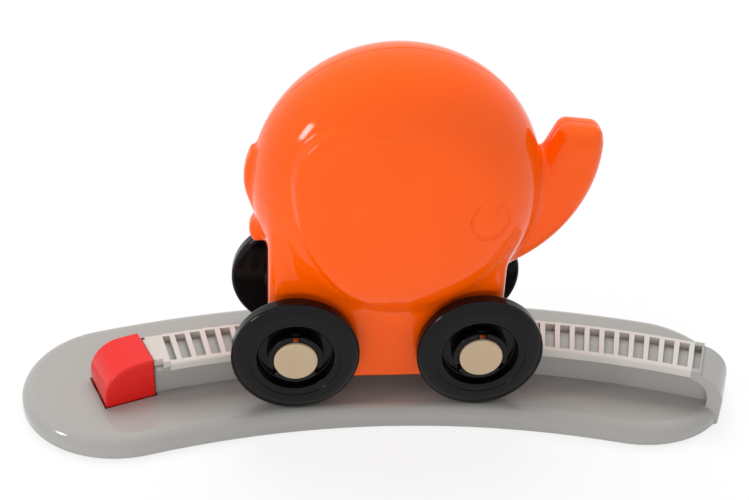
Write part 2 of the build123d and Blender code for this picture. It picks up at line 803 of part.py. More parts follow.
def build_shell_screws():
    screws = []
    for x, z in shell_screw_points:
        screw = crosswise(screw_head_radius, shell_screw_head_y, shell_screw_head_y + pan_head_height)
        screw += crosswise(screw_radius, -shell_screw_head_y + screw_tip_gap, shell_screw_head_y)
        screws.append(Pos(x, 0, z) * screw)
    return screws


shoe_screw_places = [
    Pos(sx * shoe_screw_x, sy * shoe_screw_y)
    for sx in (-1, 1)
    for sy in (-1, 1)
]


def build_rail_shoe():
    """Curved channel over the rail, with lips in its side grooves and wings that screw to the shells."""
    reach = degrees(shoe_half_length / rail_radius)
    cut_reach = degrees((shoe_half_length + cut_over) / rail_radius)
    lip_edge = rib_half_width + lip_gap
    shoe = track_sector(-shoe_outer, shoe_outer, -reach, reach, lip_bottom, shoe_roof_top)
    shoe -= track_sector(-shoe_inner, shoe_inner, -cut_reach, cut_reach, lip_top, shoe_roof_bottom)
    shoe -= track_sector(
        -lip_edge, lip_edge, -cut_reach, cut_reach, lip_bottom - cut_over, lip_top + cut_over)
    shoe += block(2 * shoe_wing_half_length, 2 * shoe_wing_y, shoe_roof_bottom, shoe_roof_top)
    shoe -= block(
        2 * shoe_window_half_length, 2 * shoe_window_half_width, lip_bottom, far_reach)
    shoe += Pos(leaf_reach, star_y) * upright(leaf_post_radius, shoe_roof_bottom, star_top + run_gap)
    shoe -= Pos(leaf_reach, star_y) * upright(screw_radius + screw_gap, shoe_roof_bottom, far_reach)
    for place in shoe_screw_places:
        shoe -= place * upright(screw_radius + screw_gap, 0, far_reach)
    return shoe


def build_shoe_screws():
    screw = upright(shoe_screw_head_radius, shoe_roof_bottom - pan_head_height, shoe_roof_bottom)
    screw += upright(screw_radius, shoe_roof_bottom, shoe_roof_top + shoe_post_height - 2 * screw_tip_gap)
    return [place * screw for place in shoe_screw_places]


def pinion_phase():
    """Turn from straight down that puts a tooth into the ladder window next to the pinion."""
    windows_before = ceil(-first_rung_angle / rung_step - 0.5)
    window_angle = first_rung_angle + (windows_before + 0.5) * rung_step
    return rail_radius * window_angle / pinion_pitch_radius


def pinion_face():
    """Pinion outline: straight tapered teeth on a root circle."""
    root = pinion_pitch_radius - pinion_dedendum
    tip = pinion_pitch_radius + pinion_addendum
    face = Circle(root)
    half_base = pinion_tooth_base / 2
    half_middle = pinion_tooth_middle / 2
    half_tip = pinion_tooth_tip / 2
    start = root - pinion_dedendum / 2
    for index in range(pinion_teeth):
        tooth = make_face(Polyline(
            (start, -half_base), (pinion_pitch_radius, -half_middle), (tip, -half_tip),
            (tip, half_tip), (pinion_pitch_radius, half_middle), (start, half_base), close=True))
        face += Rot(0, 0, pinion_phase() - 90 + index * 360 / pinion_teeth) * tooth
    return face


def star_face():
    """Star wheel outline with as many valleys as the pinion has teeth, one of them straight up."""
    points = []
    for index in range(pinion_teeth):
        for radius, turn in ((star_radius - star_valley, 0.0), (star_radius, 0.5)):
            angle = pi / 2 + (index + turn) * 2 * pi / pinion_teeth
            points.append((radius * cos(angle), radius * sin(angle)))
    return make_face(Polyline(*points, close=True))


def build_drive_pinion():
    half = pinion_width / 2
    star_high = star_y + star_width / 2
    hub_end = skirt_half_width - shell_wall - shaft_boss_length - slide_gap
    gear = Rot(90, 0, 0) * Pos(0, 0, -half) * extrude(pinion_face(), pinion_width)
    gear += Rot(90, 0, 0) * Pos(0, 0, -star_high) * extrude(star_face(), star_width)
    gear += crosswise(pinion_hub_radius, -hub_end, hub_end)
    gear -= crosswise(pinion_shaft_radius + run_gap, -hub_end, hub_end)
    return Pos(0, 0, pinion_z) * gear


def build_pinion_shaft():
    end = skirt_half_width - shell_wall - seat_gap
    return Pos(0, 0, pinion_z) * crosswise(pinion_shaft_radius, -end, end)


def build_click_spring():
    """Leaf spring on its post, with a wedge at the tip that drops between the star wheel's points."""
    low = star_top + run_gap
    start = -leaf_tip
    end = leaf_reach + leaf_post_radius
    leaf = Pos((start + end) / 2, star_y) * block(end - start, leaf_width, low, low + leaf_thickness)
    leaf -= Pos(leaf_reach, star_y) * upright(screw_radius + screw_gap, low, low + leaf_thickness)
    wedge = make_face(Polyline((-leaf_wedge, low), (leaf_wedge, low), (0, low - leaf_wedge), close=True))
    leaf += Pos(0, star_y + star_width / 4) * side_plate(wedge, 0, star_width / 2)
    return leaf


def build_click_screw():
    seat = star_top + run_gap + leaf_thickness
    screw = upright(screw_head_radius, seat, seat + pan_head_height)
    screw += upright(screw_radius, shoe_roof_top, seat)
    return Pos(leaf_reach, star_y) * screw


def solids_of(shape):
    pieces = shape if isinstance(shape, list) else [shape]
    solids = [solid for piece in pieces for solid in piece.solids()]
    return solids[0] if len(solids) == 1 else Compound(children=solids)


def build_parts():
    near_shell, far_shell = build_shells()
    parts = {
        "base_shell": build_base_shell(),
        "rack_ladder": build_rack_ladder(),
        "base_cover": build_base_cover(),
        "base_screws": build_base_screws(),
        "rubber_feet": build_rubber_feet(),
        "latch_button": build_latch_button(),
        "latch_guide_plate": build_latch_guide_plate(),
        "latch_stop_screw": build_latch_stop_screw(),
        "latch_spring": build_latch_spring(),
        "near_shell": near_shell,
        "far_shell": far_shell,
        "shell_screws": build_shell_screws(),
        "rail_shoe": build_rail_shoe(),
        "shoe_screws": build_shoe_screws(),
        "axle_screws": build_axle_screws(),
        "drive_pinion": build_drive_pinion(),
        "pinion_shaft": build_pinion_shaft(),
        "click_spring": build_click_spring(),
        "click_screw": build_click_screw(),
    }
    for end, x in (("front", axle_x), ("rear", -axle_x)):
        for side, sign in (("near", -1), ("far", 1)):
            parts[f"wheel_{end}_{side}"] = build_wheel(x, sign)
            parts[f"stub_{end}_{side}"] = build_stub(x, sign)
    return parts


os.makedirs("parts", exist_ok=True)
for name, shape in build_parts().items():
    export_step(solids_of(shape), f"parts/{name}.step")
wheel_middle_y = (wheel_inner_y + wheel_outer_y) / 2
near_ratio = (rail_radius - wheel_middle_y) / wheel_radius
far_ratio = (rail_radius + wheel_middle_y) / wheel_radius
print(f"{rung_count} rungs, latch travel {latch_travel:.2f} mm")
print(f"axles {axle_z:.2f} mm and pinion centre {pinion_z:.3f} mm above the table")
print(f"turns per turn along the track: near wheels {near_ratio:.4f}, far wheels {far_ratio:.4f}")
print(f"pinion turns {rail_radius / pinion_pitch_radius:.4f} times as far as the elephant")
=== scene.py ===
# %% [markdown]
# # A toy elephant on a curved rack
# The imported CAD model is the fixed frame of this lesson. Each visible piece is dressed here: it gets its
# soft edges, its blends and its finish, and it stays on the CAD body that moves it.

# %% Load the frame
import json
from math import acos, atan2, cos, pi, radians, sin, sqrt, tan

import bmesh
import bpy
import numpy as np
from mathutils import Matrix, Vector


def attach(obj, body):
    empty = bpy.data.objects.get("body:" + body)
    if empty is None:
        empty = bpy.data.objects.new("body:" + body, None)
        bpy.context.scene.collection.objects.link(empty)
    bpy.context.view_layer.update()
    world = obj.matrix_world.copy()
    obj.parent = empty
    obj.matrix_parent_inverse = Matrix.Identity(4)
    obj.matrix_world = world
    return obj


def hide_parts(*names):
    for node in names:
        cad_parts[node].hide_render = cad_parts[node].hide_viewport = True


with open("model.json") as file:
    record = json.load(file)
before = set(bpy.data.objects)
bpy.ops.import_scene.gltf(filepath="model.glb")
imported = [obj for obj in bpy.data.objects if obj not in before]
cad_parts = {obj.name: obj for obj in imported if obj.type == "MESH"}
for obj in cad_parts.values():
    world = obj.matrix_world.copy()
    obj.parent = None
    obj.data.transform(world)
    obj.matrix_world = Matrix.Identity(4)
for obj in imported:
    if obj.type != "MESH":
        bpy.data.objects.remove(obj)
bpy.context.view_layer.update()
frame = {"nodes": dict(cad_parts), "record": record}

MM = 0.001
scene = bpy.context.scene
scene.view_settings.view_transform = "Standard"

# %% [markdown]
# ## The camera
# The photograph looks down at the toy from the front left. The wheels, the rail's arc and the body's round
# rim were enough to solve the camera, so its place and turns are plain numbers here. A camera could also be
# aimed with a constraint, but a matrix keeps the small roll of the picture.

# %% Camera
IMAGE_WIDTH = 749
SENSOR_WIDTH = 36.0
FOCAL_PIXELS = 1338.79
NEAR_CLIP = 0.01
camera_place = Vector((-52.484, -441.198, 353.386)) * MM
yaw, pitch, roll = radians(6.2526), radians(33.1327), radians(2.7098)

forward = Vector((sin(yaw) * cos(pitch), cos(yaw) * cos(pitch), -sin(pitch)))
level = Vector((cos(yaw), -sin(yaw), 0))
upward = level.cross(forward)
across = cos(roll) * level + sin(roll) * upward
above = cos(roll) * upward - sin(roll) * level

camera = bpy.data.objects.new("camera", bpy.data.cameras.new("camera"))
camera.data.sensor_width = SENSOR_WIDTH
camera.data.lens = SENSOR_WIDTH * FOCAL_PIXELS / IMAGE_WIDTH
camera.data.clip_start = NEAR_CLIP
turn = Matrix((across, above, -forward)).transposed().to_4x4()
camera.matrix_world = Matrix.Translation(camera_place) @ turn
scene.collection.objects.link(camera)
scene.camera = camera
print("lens", round(camera.data.lens, 2), "mm")

# %% [markdown]
# ## Two small tools for colours and nodes
# Colours are written as sRGB hex, the way a picture shows them, and Blender wants linear values. Nodes are
# added by one function that also sets their values and links, so that a finish reads from top to bottom.

# %% Colour and node tools
def linear(shade):
    """sRGB hex to the linear colour that Blender's sockets take."""
    channels = [int(shade[i:i + 2], 16) / 255 for i in (1, 3, 5)]
    return [c / 12.92 if c <= 0.04045 else ((c + 0.055) / 1.055) ** 2.4 for c in channels] + [1.0]


def add_node(tree, kind, inputs=None, **settings):
    """Adds a node: settings are its properties, inputs are values for its sockets or sockets to link."""
    node = tree.nodes.new(kind)
    for name, value in settings.items():
        setattr(node, name, value)
    for name, value in (inputs or {}).items():
        if isinstance(value, bpy.types.NodeSocket):
            tree.links.new(value, node.inputs[name])
        else:
            node.inputs[name].default_value = value
    return node


def spacing(size_mm):
    """Scale of a pattern whose features are that many millimetres apart, for coordinates in metres."""
    return 1 / (size_mm * MM)


def blank_tree(owner):
    """Empty node tree of a material or a world."""
    owner.use_nodes = True
    owner.node_tree.nodes.clear()
    return owner.node_tree


print("orange in linear light", [round(c, 3) for c in linear("#fe5e20")])

# %% [markdown]
# ## White studio
# The toy stands in plain white surroundings with soft light. The world is white where the camera, a
# reflection or a see-through ray meets it, and dimmer where it lights the object, so that a colour renders
# about as it is written. A wide box from above and behind gives the shadow under the belly, a low one in
# front fills the sides, and neither shows in the gloss. A small box on the left draws the highlights.

# %% World
WHITE = "#ffffff"
SKY_LIGHT = 0.54

scene.world = bpy.data.worlds.new("white_studio")
tree = blank_tree(scene.world)


def seen_ray(tree):
    """1 for the rays that should meet a white background: camera, glossy and transmission rays."""
    path = add_node(tree, "ShaderNodeLightPath")
    seen = path.outputs["Is Camera Ray"]
    for other in ("Is Glossy Ray", "Is Transmission Ray"):
        larger = add_node(tree, "ShaderNodeMath", {0: seen, 1: path.outputs[other]}, operation="MAXIMUM")
        seen = larger.outputs[0]
    return seen


sky = add_node(tree, "ShaderNodeBackground", {"Color": linear(WHITE), "Strength": SKY_LIGHT})
backdrop = add_node(tree, "ShaderNodeBackground", {"Color": linear(WHITE), "Strength": 1.0})
either = add_node(tree, "ShaderNodeMixShader", {
    0: seen_ray(tree), 1: sky.outputs[0], 2: backdrop.outputs[0]})
add_node(tree, "ShaderNodeOutputWorld", {"Surface": either.outputs[0]})

# %% Soft boxes
MIDDLE = (0, 0, 0.07)


def soft_box(name, place, width, height, watts):
    """Rectangular lamp that points at the middle of the toy. Sizes are in metres."""
    lamp = bpy.data.lights.new(name, "AREA")
    lamp.shape = "RECTANGLE"
    lamp.size, lamp.size_y, lamp.energy = width, height, watts
    box = bpy.data.objects.new(name, lamp)
    box.location = place
    box.rotation_euler = (Vector(MIDDLE) - Vector(place)).to_track_quat("-Z", "Y").to_euler()
    scene.collection.objects.link(box)
    return box


box_above = soft_box("box_above", (0.00, 0.50, 0.98), width=0.9, height=0.6, watts=9.0)
box_front = soft_box("box_front", (-0.20, -1.30, 0.20), width=1.2, height=0.3, watts=4.8)
for wide_box in (box_above, box_front):
    wide_box.visible_glossy = False
soft_box("box_left", (-0.80, -0.25, 0.44), width=0.12, height=0.18, watts=1.6)

# %% [markdown]
# ## Floor
# A pale floor carries the toy and takes its shadow. To the camera it is mostly white light, and a share of
# it stays plain paint, which is what shows the shadow.

# %% Floor
PAINT_SHARE = 0.18
FLOOR_SHADE = "#f2f2f2"
FLOOR_HALF = 4.0

floor_paint = bpy.data.materials.new("white_floor_paint")
tree = blank_tree(floor_paint)
paint = add_node(tree, "ShaderNodeBsdfDiffuse", {"Color": linear(FLOOR_SHADE)})
lift = add_node(tree, "ShaderNodeEmission", {"Color": linear(WHITE), "Strength": 1.0})
share = add_node(tree, "ShaderNodeMath", {0: seen_ray(tree), 1: 1 - PAINT_SHARE}, operation="MULTIPLY")
both = add_node(tree, "ShaderNodeMixShader", {
    0: share.outputs[0], 1: paint.outputs[0], 2: lift.outputs[0]})
add_node(tree, "ShaderNodeOutputMaterial", {"Surface": both.outputs[0]})

floor_mesh = bpy.data.meshes.new("floor")
floor_corners = [(sx * FLOOR_HALF, sy * FLOOR_HALF, 0) for sx, sy in ((-1, -1), (1, -1), (1, 1), (-1, 1))]
floor_mesh.from_pydata(floor_corners, [], [(0, 1, 2, 3)])
floor_mesh.materials.append(floor_paint)
floor = bpy.data.objects.new("floor", floor_mesh)
scene.collection.objects.link(floor)
print("floor and", len(bpy.data.lights), "soft boxes")

# %% [markdown]
# ## Moulded ABS and rubber
# Nearly all of the toy is ABS, injection moulded against polished steel. That gives the eye an even colour,
# a clear gloss, and a faint waviness in the reflections where the wall shrank over ribs. The colour drifts
# a little along the melt's flow, and handling leaves the gloss uneven. Grain finer than a pixel is drawn as
# coarse as it needs to show. The acetal inside and the matt black rubber of the feet are moulded too, with
# a duller skin.

# %% Moulded finishes
FLOW_MM = 38.0
HANDLING_MM = 9.0
WAVE_MM = 16.0
GRAIN_MM = 0.9
ABS_IOR = 1.53
NOISE_LOW, NOISE_HIGH = 0.3, 0.7  # most values of a noise lie between these
COLOUR_A, COLOUR_B, COLOUR_OUT = 6, 7, 2  # sockets of a Mix node that mixes colours


def moulded(name, shade, drift, smooth, dull, gloss, wave_height_mm, grain_height_mm):
    """Moulded plastic: shade drifts to drift, roughness runs from smooth to dull, gloss is specular."""
    finish = bpy.data.materials.new(name)
    tree = blank_tree(finish)
    place = add_node(tree, "ShaderNodeTexCoord").outputs["Object"]
    flow = add_node(tree, "ShaderNodeTexNoise", {
        "Vector": place, "Scale": spacing(FLOW_MM), "Detail": 2.0})
    colour = add_node(tree, "ShaderNodeMix", {"Factor": flow.outputs["Fac"]}, data_type="RGBA")
    colour.inputs[COLOUR_A].default_value = linear(shade)
    colour.inputs[COLOUR_B].default_value = linear(drift)
    handling = add_node(tree, "ShaderNodeTexNoise", {
        "Vector": place, "Scale": spacing(HANDLING_MM), "Detail": 4.0})
    rough = add_node(tree, "ShaderNodeMapRange", {
        "Value": handling.outputs["Fac"], "From Min": NOISE_LOW, "From Max": NOISE_HIGH,
        "To Min": smooth, "To Max": dull})
    wave = add_node(tree, "ShaderNodeTexNoise", {
        "Vector": place, "Scale": spacing(WAVE_MM), "Detail": 1.0})
    waves = add_node(tree, "ShaderNodeBump", {
        "Height": wave.outputs["Fac"], "Strength": 1.0, "Distance": wave_height_mm * MM})
    grain = add_node(tree, "ShaderNodeTexNoise", {
        "Vector": place, "Scale": spacing(GRAIN_MM), "Detail": 2.0})
    grains = add_node(tree, "ShaderNodeBump", {
        "Height": grain.outputs["Fac"], "Strength": 1.0, "Distance": grain_height_mm * MM,
        "Normal": waves.outputs["Normal"]})
    skin = add_node(tree, "ShaderNodeBsdfPrincipled", {
        "Base Color": colour.outputs[COLOUR_OUT], "Roughness": rough.outputs[0],
        "Normal": grains.outputs["Normal"], "IOR": ABS_IOR, "Specular IOR Level": gloss})
    add_node(tree, "ShaderNodeOutputMaterial", {"Surface": skin.outputs[0]})
    return finish


moulded_rows = {  # slot: name, shade, drift, smooth, dull, gloss, wave height, grain height
    "orange_abs": ("orange_abs_polished_mould", "#ff5f00", "#fb5800", 0.06, 0.13, 0.24, 0.05, 0.0006),
    "grey_abs": ("grey_abs_polished_mould", "#a3a29e", "#9f9d99", 0.06, 0.12, 0.42, 0.05, 0.0006),
    "ladder_grey_abs": ("pale_grey_abs_satin_mould", "#cac6c0", "#c4bfb8", 0.34, 0.48, 0.40, 0.03, 0.0020),
    "black_abs": ("black_abs_polished_mould", "#0a0808", "#0d0b0b", 0.07, 0.14, 0.17, 0.04, 0.0008),
    "cream_abs": ("cream_abs_satin_mould", "#bfa98b", "#b7a184", 0.30, 0.42, 0.35, 0.03, 0.0020),
    "red_abs": ("red_abs_polished_mould", "#e2180f", "#d8120b", 0.14, 0.24, 0.40, 0.04, 0.0008),
    "white_acetal": ("white_acetal_satin_mould", "#e6e3dc", "#dedad2", 0.36, 0.48, 0.35, 0.03, 0.0020),
    "black_rubber": ("black_rubber_matt_mould", "#262626", "#2d2d2c", 0.65, 0.80, 0.30, 0.02, 0.02),
}
finishes = {slot: moulded(*row) for slot, row in moulded_rows.items()}
print("moulded finishes:", sorted(finishes))

# %% [markdown]
# ## Steel
# Screws and shafts are zinc plated: a pale metal whose crystals scatter its reflections. The springs are
# drawn wire and rolled strip, darker from tempering.

# %% Steel finishes
def fastener_steel(name, shade, drift, smooth, dull, streak_mm):
    """Metal with crystals or streaks of that size, which drift in colour and roughness."""
    finish = bpy.data.materials.new(name)
    tree = blank_tree(finish)
    place = add_node(tree, "ShaderNodeTexCoord").outputs["Object"]
    crystals = add_node(tree, "ShaderNodeTexNoise", {
        "Vector": place, "Scale": spacing(streak_mm), "Detail": 5.0})
    colour = add_node(tree, "ShaderNodeMix", {"Factor": crystals.outputs["Fac"]}, data_type="RGBA")
    colour.inputs[COLOUR_A].default_value = linear(shade)
    colour.inputs[COLOUR_B].default_value = linear(drift)
    rough = add_node(tree, "ShaderNodeMapRange", {
        "Value": crystals.outputs["Fac"], "From Min": NOISE_LOW, "From Max": NOISE_HIGH,
        "To Min": smooth, "To Max": dull})
    skin = add_node(tree, "ShaderNodeBsdfPrincipled", {
        "Base Color": colour.outputs[COLOUR_OUT], "Roughness": rough.outputs[0], "Metallic": 1.0})
    add_node(tree, "ShaderNodeOutputMaterial", {"Surface": skin.outputs[0]})
    return finish


finishes["zinc_steel"] = fastener_steel("zinc_plated_steel", "#c2c2be", "#aeaeaa", 0.28, 0.45, 0.6)
finishes["spring_steel"] = fastener_steel("tempered_spring_steel", "#93938f", "#7d7b77", 0.25, 0.40, 0.5)
for subpart in frame["record"]["subparts"]:
    node = frame["nodes"][subpart["node"]]
    node.data.materials.clear()
    node.data.materials.append(finishes[subpart["material_slot"]])
print("every CAD node has a finish")

# %% [markdown]
# ## Outlines
# Trunk, tail, ear and wheel profiles are flat outlines of lines and arcs. They are written as their own
# corner points and radii, and turned into points here, so a shape changes in one place.

# %% Outline tools
def arc(start, through, end, steps=14):
    """Points on the circle through three points, without the last one."""
    (ax, az), (bx, bz), (cx, cz) = start, through, end
    d = 2 * (ax * (bz - cz) + bx * (cz - az) + cx * (az - bz))
    a2, b2, c2 = ax * ax + az * az, bx * bx + bz * bz, cx * cx + cz * cz
    ox = (a2 * (bz - cz) + b2 * (cz - az) + c2 * (az - bz)) / d
    oz = (a2 * (cx - bx) + b2 * (ax - cx) + c2 * (bx - ax)) / d
    first = atan2(az - oz, ax - ox)
    to_through = (atan2(bz - oz, bx - ox) - first) % (2 * pi)
    to_end = (atan2(cz - oz, cx - ox) - first) % (2 * pi)
    sweep = to_end if to_through < to_end else to_end - 2 * pi
    radius = sqrt((ax - ox) ** 2 + (az - oz) ** 2)
    turns = [first + sweep * i / steps for i in range(steps)]
    return [(ox + radius * cos(t), oz + radius * sin(t)) for t in turns]


def soften(corners, steps=6, share=0.49):
    """Closed outline of (x, z, radius) corners. A rounding takes up to share of each line beside it."""
    points = []
    for i, (x, z, radius) in enumerate(corners):
        here = Vector((x, z))
        before = Vector(corners[i - 1][:2]) - here
        after = Vector(corners[(i + 1) % len(corners)][:2]) - here
        if radius == 0:
            points.append((x, z))
            continue
        u, v = before.normalized(), after.normalized()
        half = acos(max(-1, min(1, u.dot(v)))) / 2
        back = min(radius / tan(half), share * before.length, share * after.length)
        centre = here + (u + v).normalized() * back / cos(half)
        spoke_in, spoke_out = here + u * back - centre, here + v * back - centre
        first = atan2(spoke_in.y, spoke_in.x)
        sweep = (atan2(spoke_out.y, spoke_out.x) - first + pi) % (2 * pi) - pi
        for k in range(steps + 1):
            t = first + sweep * k / steps
            points.append((centre.x + spoke_in.length * cos(t), centre.y + spoke_in.length * sin(t)))
    return points


BODY_X, BODY_Z = 3.1, 95.18
BODY_RADIUS = 55.7


def rim_point(proud, angle):
    """Side view point from its distance outside the body's rim and its angle up from the trunk's side."""
    reach = BODY_RADIUS + proud
    return (BODY_X + reach * cos(radians(angle)), BODY_Z + reach * sin(radians(angle)))


# %% Trunk, tail and ear outlines
TIP_FRONT_ROUND, TIP_BACK_ROUND = 5.0, 4.6

trunk_belly = arc(rim_point(0.1, -42.8), rim_point(12.5, -17.2), rim_point(24.3, 13.0), 22)
trunk_outline = soften(
    [(x, z, 0) for x, z in trunk_belly]
    + [(*rim_point(24.3, 13.0), 0), (*rim_point(24.7, 17.7), TIP_FRONT_ROUND)]
    + [(*rim_point(11.0, 23.0), TIP_BACK_ROUND), (*rim_point(-4.1, 5.1), 0), (*rim_point(-30, -10), 0)])
tail_outline = (
    [rim_point(-5.9, 162.0)]
    + arc(rim_point(1.7, 164.6), rim_point(2.8, 174.0), rim_point(-0.4, 191.5))
    + [rim_point(-0.4, 191.5)]
    + arc(rim_point(-0.4, 194.3), rim_point(4.5, 200.0), rim_point(4.3, 204.6))
    + [rim_point(4.3, 204.6), rim_point(-3.35, 207.3), rim_point(-12.0, 183.0)])
ear_outline = (
    [rim_point(-24.3, 73.0)]
    + arc(rim_point(-18.9, 107.4), rim_point(-10.9, 138.6), rim_point(-13.8, 164.9))
    + arc(rim_point(-13.8, 164.9), rim_point(-18.2, 194.0), rim_point(-15.6, 238.8))
    + arc(rim_point(-15.6, 238.8), rim_point(-14.7, 256.6), rim_point(-18.8, 273.3))
    + [rim_point(-18.8, 273.3)])
EYE_X, EYE_Z, EYE_WIDE, EYE_TALL = 32.8, -1.0, 7.2, 7.9
EYE_FROM, EYE_TO, EYE_STEPS = 128, 415, 40
EYE_HOOK = ((36.1, 5.0), (35.1, 3.8), (35.0, 2.1))
eye_turns = [radians(EYE_FROM + (EYE_TO - EYE_FROM) * i / EYE_STEPS) for i in range(EYE_STEPS + 1)]
eye_line = [(BODY_X + EYE_X + EYE_WIDE * cos(t), BODY_Z + EYE_Z + EYE_TALL * sin(t)) for t in eye_turns]
eye_line += [(BODY_X + x, BODY_Z + z) for x, z in EYE_HOOK]
print("outline points:", len(trunk_outline), len(tail_outline), len(ear_outline), len(eye_line))

# %% [markdown]
# ## The elephant's shells as a distance field
# The body is a soft pillow that melts into a boxy skirt, a raised trunk and a tail. Such blends could be
# sculpted or bevelled, but a distance field says them exactly: each form is a function that tells how far a
# point lies outside it, and a round union of two such numbers is a fillet of a known radius.

# %% Field tools
FAR_AWAY = 1e9


def round_union(a, b, radius):
    """Union of two fields with a fillet in the corner between them."""
    corner = np.hypot(np.maximum(radius - a, 0), np.maximum(radius - b, 0))
    return np.maximum(radius, np.minimum(a, b)) - corner


def round_overlap(a, b, radius):
    """Overlap of two fields with a rounded edge."""
    return -round_union(-a, -b, radius)


def outline_distance(x, z, outline, closed=True):
    """Distance to an outline in the side view, below zero inside it if it is closed."""
    nearest = np.full(np.broadcast(x, z).shape, FAR_AWAY)
    inside = np.zeros(nearest.shape, bool)
    ends = outline[1:] + outline[:1] if closed else outline[1:]
    for (ax, az), (bx, bz) in zip(outline, ends):
        ex, ez = bx - ax, bz - az
        along = np.clip(((x - ax) * ex + (z - az) * ez) / (ex * ex + ez * ez), 0, 1)
        nearest = np.minimum(nearest, (x - ax - ex * along) ** 2 + (z - az - ez * along) ** 2)
        if closed and ez:
            level_with = (az > z) != (bz > z)
            inside ^= level_with & (x < ex * (z - az) / ez + ax)
    nearest = np.sqrt(nearest)
    return np.where(inside, -nearest, nearest)


def edged_plate(flat, side, half, edge):
    """Plate of an outline's distance, its half thickness and its rounded edge."""
    a, b = flat + edge, side - (half - edge)
    return np.hypot(np.maximum(a, 0), np.maximum(b, 0)) + np.minimum(np.maximum(a, b), 0) - edge


# %% Forms of the elephant
RIM_ROUND, FACE_ROUND = 28.8, 200.0
CORE = BODY_RADIUS - RIM_ROUND
DROP = sqrt((FACE_ROUND - RIM_ROUND) ** 2 - CORE ** 2)
SKIRT_LENGTH, SKIRT_WIDTH, SKIRT_CORNER, SKIRT_BOTTOM = 46.35, 21.5, 7.0, 17.5
TRUNK_HALF, TRUNK_EDGE, TRUNK_ROOT = 9.0, 7.0, 3.5
TAIL_HALF, TAIL_EDGE, TAIL_ROOT = 4.5, 3.0, 1.8
SKIRT_FILLET = 1.8
AXLE_X, AXLE_Z, BOSS_RADIUS, BOSS_END = 36.15, 34.08, 9.6, 23.8
JOURNAL_RADIUS, JOURNAL_END, JOURNAL_LEAD, SPIGOT = 8.45, 30.15, 2.2, 6.0
EAR_RISE, EAR_REACH, EAR_HINGE, EAR_SLOPE = 1.8, 34.0, 2.0, 1.3
EYE_DEPTH, EYE_HALF_WIDTH = 0.55, 0.85


def body_pillow(x, side, z):
    """The round body: two wide domes joined by a full rim. Side is the distance from the seam's plane."""
    ring = np.hypot(x - BODY_X, z - BODY_Z)
    rim = np.hypot(ring - CORE, side) - RIM_ROUND
    face = np.hypot(ring, side + DROP) - FACE_ROUND
    return np.where((ring > CORE) & (side * CORE < (ring - CORE) * DROP), rim, face)


def skirt_block(x, side, z):
    """The boxy skirt, upright and rounded at its corners."""
    a, b = np.abs(x) - (SKIRT_LENGTH - SKIRT_CORNER), side - (SKIRT_WIDTH - SKIRT_CORNER)
    plan = np.hypot(np.maximum(a, 0), np.maximum(b, 0)) + np.minimum(np.maximum(a, b), 0) - SKIRT_CORNER
    return np.maximum(plan, z - BODY_Z)


def ear_lift(x, z):
    """The ear stands proud towards the tail and fades out towards the head."""
    lean = EAR_RISE * np.clip((EAR_HINGE - (x - BODY_X)) / EAR_REACH, 0, 1.1)
    step = np.clip(0.5 - outline_distance(x, z, ear_outline) / (2 * EAR_SLOPE), 0, 1)
    return lean * step * step * (3 - 2 * step)


def eye_cut(x, z):
    """The engraved open ring of the eye."""
    off = outline_distance(x, z, eye_line, closed=False) / EYE_HALF_WIDTH
    return EYE_DEPTH * np.clip(1 - off * off, 0, 1)


# %% Whole shell
WALL = 2.5
RAIL_RADIUS, MOUTH_HALF, MOUTH_TOP = 360.5, 10.9, 25.35
LOW_EDGE, SEAM_EDGE = 0.5, 0.4
SCREW_REACH, WELL_RADIUS, WELL_START, WELL_BOSS = 30.4, 2.95, 8.0, 5.0
well_points = [(BODY_X + sx * SCREW_REACH, BODY_Z + sz * SCREW_REACH) for sx in (-1, 1) for sz in (-1, 1)]


def near_solid(x, y, z, wells=False):
    """One half of the elephant at y < 0. With the screws' wells it is the far half, mirrored."""
    side = np.abs(y)
    pillow, block = body_pillow(x, side, z), skirt_block(x, side, z)
    trunk = edged_plate(outline_distance(x, z, trunk_outline), side, TRUNK_HALF, TRUNK_EDGE)
    tail = edged_plate(outline_distance(x, z, tail_outline), side, TAIL_HALF, TAIL_EDGE)
    core = round_union(round_union(pillow, block, SKIRT_FILLET), trunk, TRUNK_ROOT)
    dressed = pillow + np.where(side > RIM_ROUND / 2, eye_cut(x, z) - ear_lift(x, z), 0)
    outer = round_union(round_union(dressed, block, SKIRT_FILLET), trunk, TRUNK_ROOT)
    outer = round_union(outer, tail, TAIL_ROOT)
    for axle in (-AXLE_X, AXLE_X):
        boss = round_overlap(np.hypot(x - axle, z - AXLE_Z) - BOSS_RADIUS, side - BOSS_END, LOW_EDGE)
        outer = round_union(outer, boss, 2 * LOW_EDGE)
    outer = round_overlap(outer, SKIRT_BOTTOM - z, LOW_EDGE)
    shell = np.maximum(outer, -(core + WALL))
    for well_x, well_z in well_points:
        away = np.hypot(x - well_x, z - well_z)
        shell = np.minimum(shell, np.maximum(away - WELL_BOSS, outer + WALL / 2))
        if wells:
            shell = round_overlap(shell, -np.maximum(away - WELL_RADIUS, WELL_START - side), SEAM_EDGE)
    for axle in (-AXLE_X, AXLE_X):
        away = np.hypot(x - axle, z - AXLE_Z)
        ends = np.maximum(side - JOURNAL_END, SKIRT_WIDTH - WALL - side)
        shell = np.minimum(shell, round_overlap(away - JOURNAL_RADIUS, ends, JOURNAL_LEAD))
        shell = np.maximum(shell, SPIGOT - away)
    track = np.abs(np.hypot(x, RAIL_RADIUS + (-y if wells else y)) - RAIL_RADIUS)
    mouth = np.maximum(track - MOUTH_HALF, z - MOUTH_TOP)
    shell = round_overlap(shell, -mouth, LOW_EDGE)
    return round_overlap(shell, y, SEAM_EDGE)


def far_solid(x, y, z):
    """The far half, mirrored to y < 0."""
    return near_solid(x, y, z, wells=True)


face_middle = near_solid(BODY_X, np.float64(DROP - FACE_ROUND), BODY_Z)
print("plain face to skin at its middle:", round(float(face_middle), 3), "mm")

